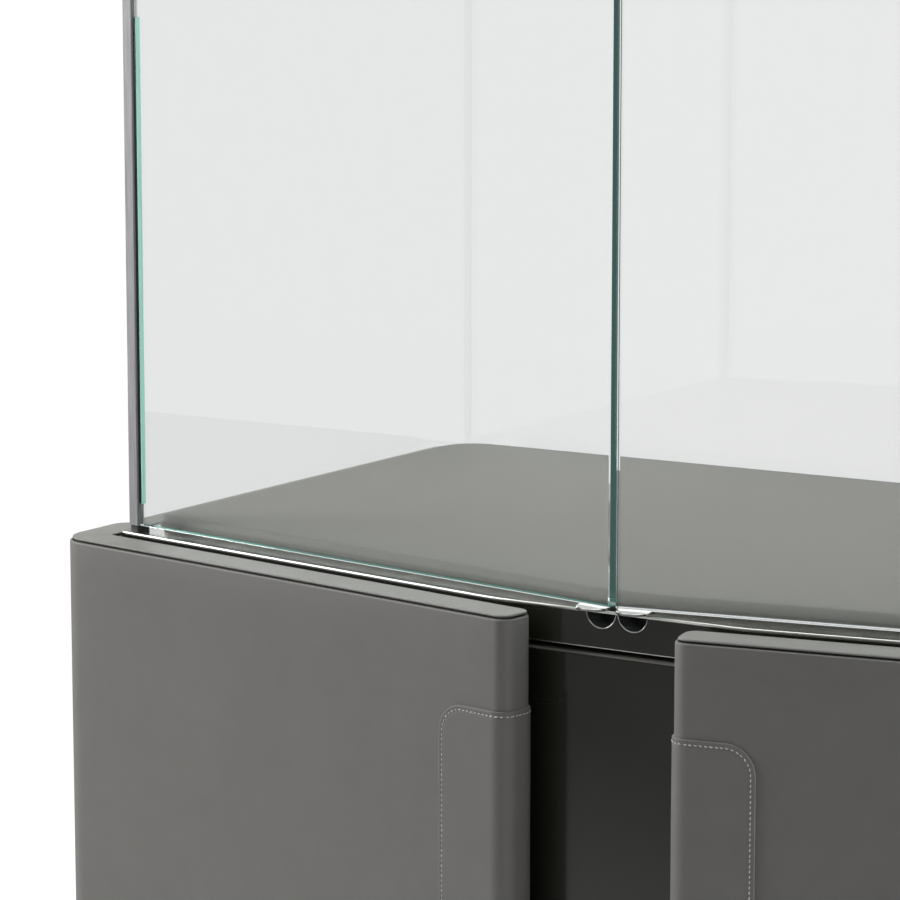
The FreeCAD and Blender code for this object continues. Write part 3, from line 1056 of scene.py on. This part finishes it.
def bondedGlassMesh():
    sideLow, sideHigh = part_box("side_pane_right")
    backLow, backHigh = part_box("back_pane")
    inner, outer = sideLow.x, sideHigh.x
    front, near, far = sideLow.y, backLow.y, backHigh.y
    plot = {                       # the U of the three panes from above, anticlockwise
        "a": (-outer, front), "b": (-inner, front), "c": (-inner, near), "d": (inner, near),
        "e": (inner, front), "f": (outer, front), "g": (outer, far), "h": (inner, far),
        "i": (-inner, far), "j": (-outer, far),
    }
    bm = bmesh.new()
    levels = (backLow.z, backHigh.z, sideHigh.z)
    at = [{k: bm.verts.new((*p, z)) for k, p in plot.items()} for z in levels]
    bm.faces.new([at[0][k] for k in "jihgfedcba"])
    for k, n in zip("abcdefghij", "bcdefghija"):
        bm.faces.new((at[0][k], at[0][n], at[1][n], at[1][k]))
    bm.faces.new([at[1][k] for k in "cdhi"])
    for loop in ("abcij", "defgh"):
        for k, n in zip(loop, loop[1:] + loop[0]):
            bm.faces.new((at[1][k], at[1][n], at[2][n], at[2][k]))
        bm.faces.new([at[2][k] for k in loop])
    bmesh.ops.recalc_face_normals(bm, faces=bm.faces)
    seams = [e for e in bm.edges if e.calc_face_angle(0) > 0.1]
    bmesh.ops.bevel(bm, geom=seams, offset=caseGlass["arris"], segments=1, affect="EDGES")
    return finishMesh(bm, "bondedGlass", 20)


bonded = addPiece("bondedGlass", bondedGlassMesh(), "cabinet", "glass_clear", "glassClear")
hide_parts("side_pane_left", "side_pane_right", "back_pane")
print("case glass bonded")


# black seals in the recess of each door pane, and the cut face of the glass beside them

seal = {
    "wide": 0.0026,
    "shy": 0.0003,                 # stands back from both glass faces
    "cutFace": 0.00016,
    "round": 0.0004,
    "clear": 0.0001,               # gap to the glass at the ends and the hinge side
    "notch": 0.003,
    "behind": 0.00006,             # the cut face lies this far inside the glass
    "cutRound": 0.00003,
}


def doorBlock(name, u, v, z, flip, bevel):  # a bar set out along the door pane
    bm = bmesh.new()
    bmesh.ops.create_cube(bm, size=1)
    for vert in bm.verts:
        place = alongFront(u[vert.co.x > 0], v[vert.co.y > 0])
        vert.co = Vector((place.x * flip, place.y, z[vert.co.z > 0]))
    bmesh.ops.bevel(bm, geom=list(bm.edges), offset=bevel, segments=2, affect="EDGES")
    return finishMesh(bm, name, 30)


sealLow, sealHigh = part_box("door_gasket_left")
for side, flip in (("left", 1), ("right", -1)):
    body = "glass_door_" + side
    high = (sealLow.z + seal["clear"], sealHigh.z - seal["clear"])
    across = (seal["shy"], plan["glass"] - seal["shy"])
    along = (seal["clear"], seal["wide"])
    mesh = doorBlock("doorSeal", along, across, high, flip, seal["round"])
    bar = addPiece("doorSeal_" + side, mesh, body, "rubber_black", "blackGloss")
    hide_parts("door_gasket_" + side)
    start = seal["notch"] + seal["behind"]
    mesh = doorBlock("cutFace", (start, start + seal["cutFace"]), across, high, flip,
                     seal["cutRound"])
    addPiece("cutFace_" + side, mesh, body, "glass_clear", "glassCut")
print("door seals set")


# bright rims of the finger cups

cupRim = {
    "wire": 0.00032,
    "wall": 0.0007,
    "steps": 48,
}


def cupRimMesh(name, side):
    low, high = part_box("finger_cup_" + side)
    radius = (high.x - low.x) / 2 - cupRim["wall"] / 2
    middle = Vector(((low.x + high.x) / 2, low.y, low.z + (high.x - low.x) / 2))
    reach = math.asin((high.z - middle.z) / (radius + cupRim["wall"] / 2))
    outwards = []
    for k in range(cupRim["steps"] + 1):
        angle = reach - (math.pi + 2 * reach) * k / cupRim["steps"]
        outwards.append(Vector((math.cos(angle), 0, math.sin(angle))))
    places = [middle + outward * radius for outward in outwards]
    return tubeMesh(name, places, outwards, cupRim["wire"], (0, 1, 0), 8)


for side in ("left", "right"):
    addPiece("cupRim_" + side, cupRimMesh("cupRim", side), "cabinet", "steel_polished",
             "steelPolished")
print("cups rimmed")


# floor, light and camera

studio = {
    "floorColour": (0.62, 0.62, 0.62),
    "floorGlow": 0.62,             # what the eye sees of the floor close to the cabinet
    "floorHalf": 60.0,
    "floorFar": 3.0,               # the floor is plain white beyond this many metres
    "front": 0.17,                 # how bright the room is in front of the cabinet
    "back": 0.45,
    "lamps": {                     # place, aimed at, width, height, power
        "keyLeft": ((-3.3, -1.25, 2.1), (0, -0.2, 0.6), 1.3, 2.2, 120),
        "sideRight": ((3.0, -0.75, 1.0), (0, -0.25, 0.6), 0.8, 2.0, 14),
        "overhead": ((0, 1.0, 3.2), (0, 0.7, 0), 5.0, 4.0, 105),
    },
}


def seenDirectly(tree):  # 1 for what is looked at straight or through glass
    path = addNode(tree, "ShaderNodeLightPath")
    return mathNode(tree, "MAXIMUM", path.outputs["Is Camera Ray"],
                    path.outputs["Is Transmission Ray"])


def makeFloor():
    bm = bmesh.new()
    half = studio["floorHalf"]
    corners = [(-half, -half), (half, -half), (half, half), (-half, half)]
    bm.faces.new([bm.verts.new((x, y, 0)) for x, y in corners])
    mesh = bpy.data.meshes.new("floor")
    bm.to_mesh(mesh)
    bm.free()
    floor = linkObject("floor", mesh)
    made, tree, shader = newMaterial("paleFloor")
    where = objectPlace(tree)
    away = addNode(tree, "ShaderNodeVectorMath", links=[(0, where)], operation="LENGTH")
    far = ramp(tree, away.outputs["Value"], 1.0, studio["floorFar"])
    tree.links.new(mixColour(tree, far, studio["floorColour"], (0.0, 0.0, 0.0)),
                   shader.inputs["Base Color"])
    shader.inputs["Roughness"].default_value = 0.9
    shader.inputs["Specular IOR Level"].default_value = 0.0
    shader.inputs["Emission Color"].default_value = (1, 1, 1, 1)
    glow = ramp(tree, far, 0.0, 1.0, studio["floorGlow"], 1.02)
    dim = ramp(tree, seenDirectly(tree), 0.0, 1.0, 0.25, 1.0)
    tree.links.new(mathNode(tree, "MULTIPLY", glow, dim), shader.inputs["Emission Strength"])
    mesh.materials.append(made)


def softBox(name, place, target, width, height, power):
    data = bpy.data.lights.new(name, "AREA")
    data.shape = "RECTANGLE"
    data.size = width
    data.size_y = height
    data.energy = power
    lamp = linkObject(name, data)
    lamp.location = place
    lamp.rotation_euler = (Vector(target) - Vector(place)).to_track_quat("-Z", "Y").to_euler()


def makeStudio():
    world = bpy.data.worlds.new("studio")
    world.use_nodes = True
    tree = world.node_tree
    sky = tree.nodes["Background"]
    sky.inputs["Color"].default_value = (1, 1, 1, 1)
    way = addNode(tree, "ShaderNodeTexCoord").outputs["Generated"]
    parts = addNode(tree, "ShaderNodeSeparateXYZ", links=[(0, way)])
    behind = ramp(tree, parts.outputs["Y"], -0.15, 0.45, studio["front"], studio["back"])
    tree.links.new(mathNode(tree, "MAXIMUM", behind, seenDirectly(tree)), sky.inputs["Strength"])
    bpy.context.scene.world = world
    for name, lamp in studio["lamps"].items():
        softBox(name, *lamp)
    bpy.context.scene.view_settings.view_transform = "Standard"


view = {
    "place": (0.98751, -2.03980, 1.20414),
    "azimuth": 32.026,
    "down": 7.972,
    "lens": 129.79,
    "shift": -0.06,
}


def makeCamera():
    data = bpy.data.cameras.new("camera")
    data.lens = view["lens"]
    data.sensor_width = 36
    data.shift_y = view["shift"]
    data.clip_end = 200
    camera = linkObject("camera", data)
    camera.location = view["place"]
    camera.rotation_euler = (math.radians(90 - view["down"]), 0, math.radians(view["azimuth"]))
    bpy.context.scene.camera = camera


makeFloor()
makeStudio()
makeCamera()
print("studio set")
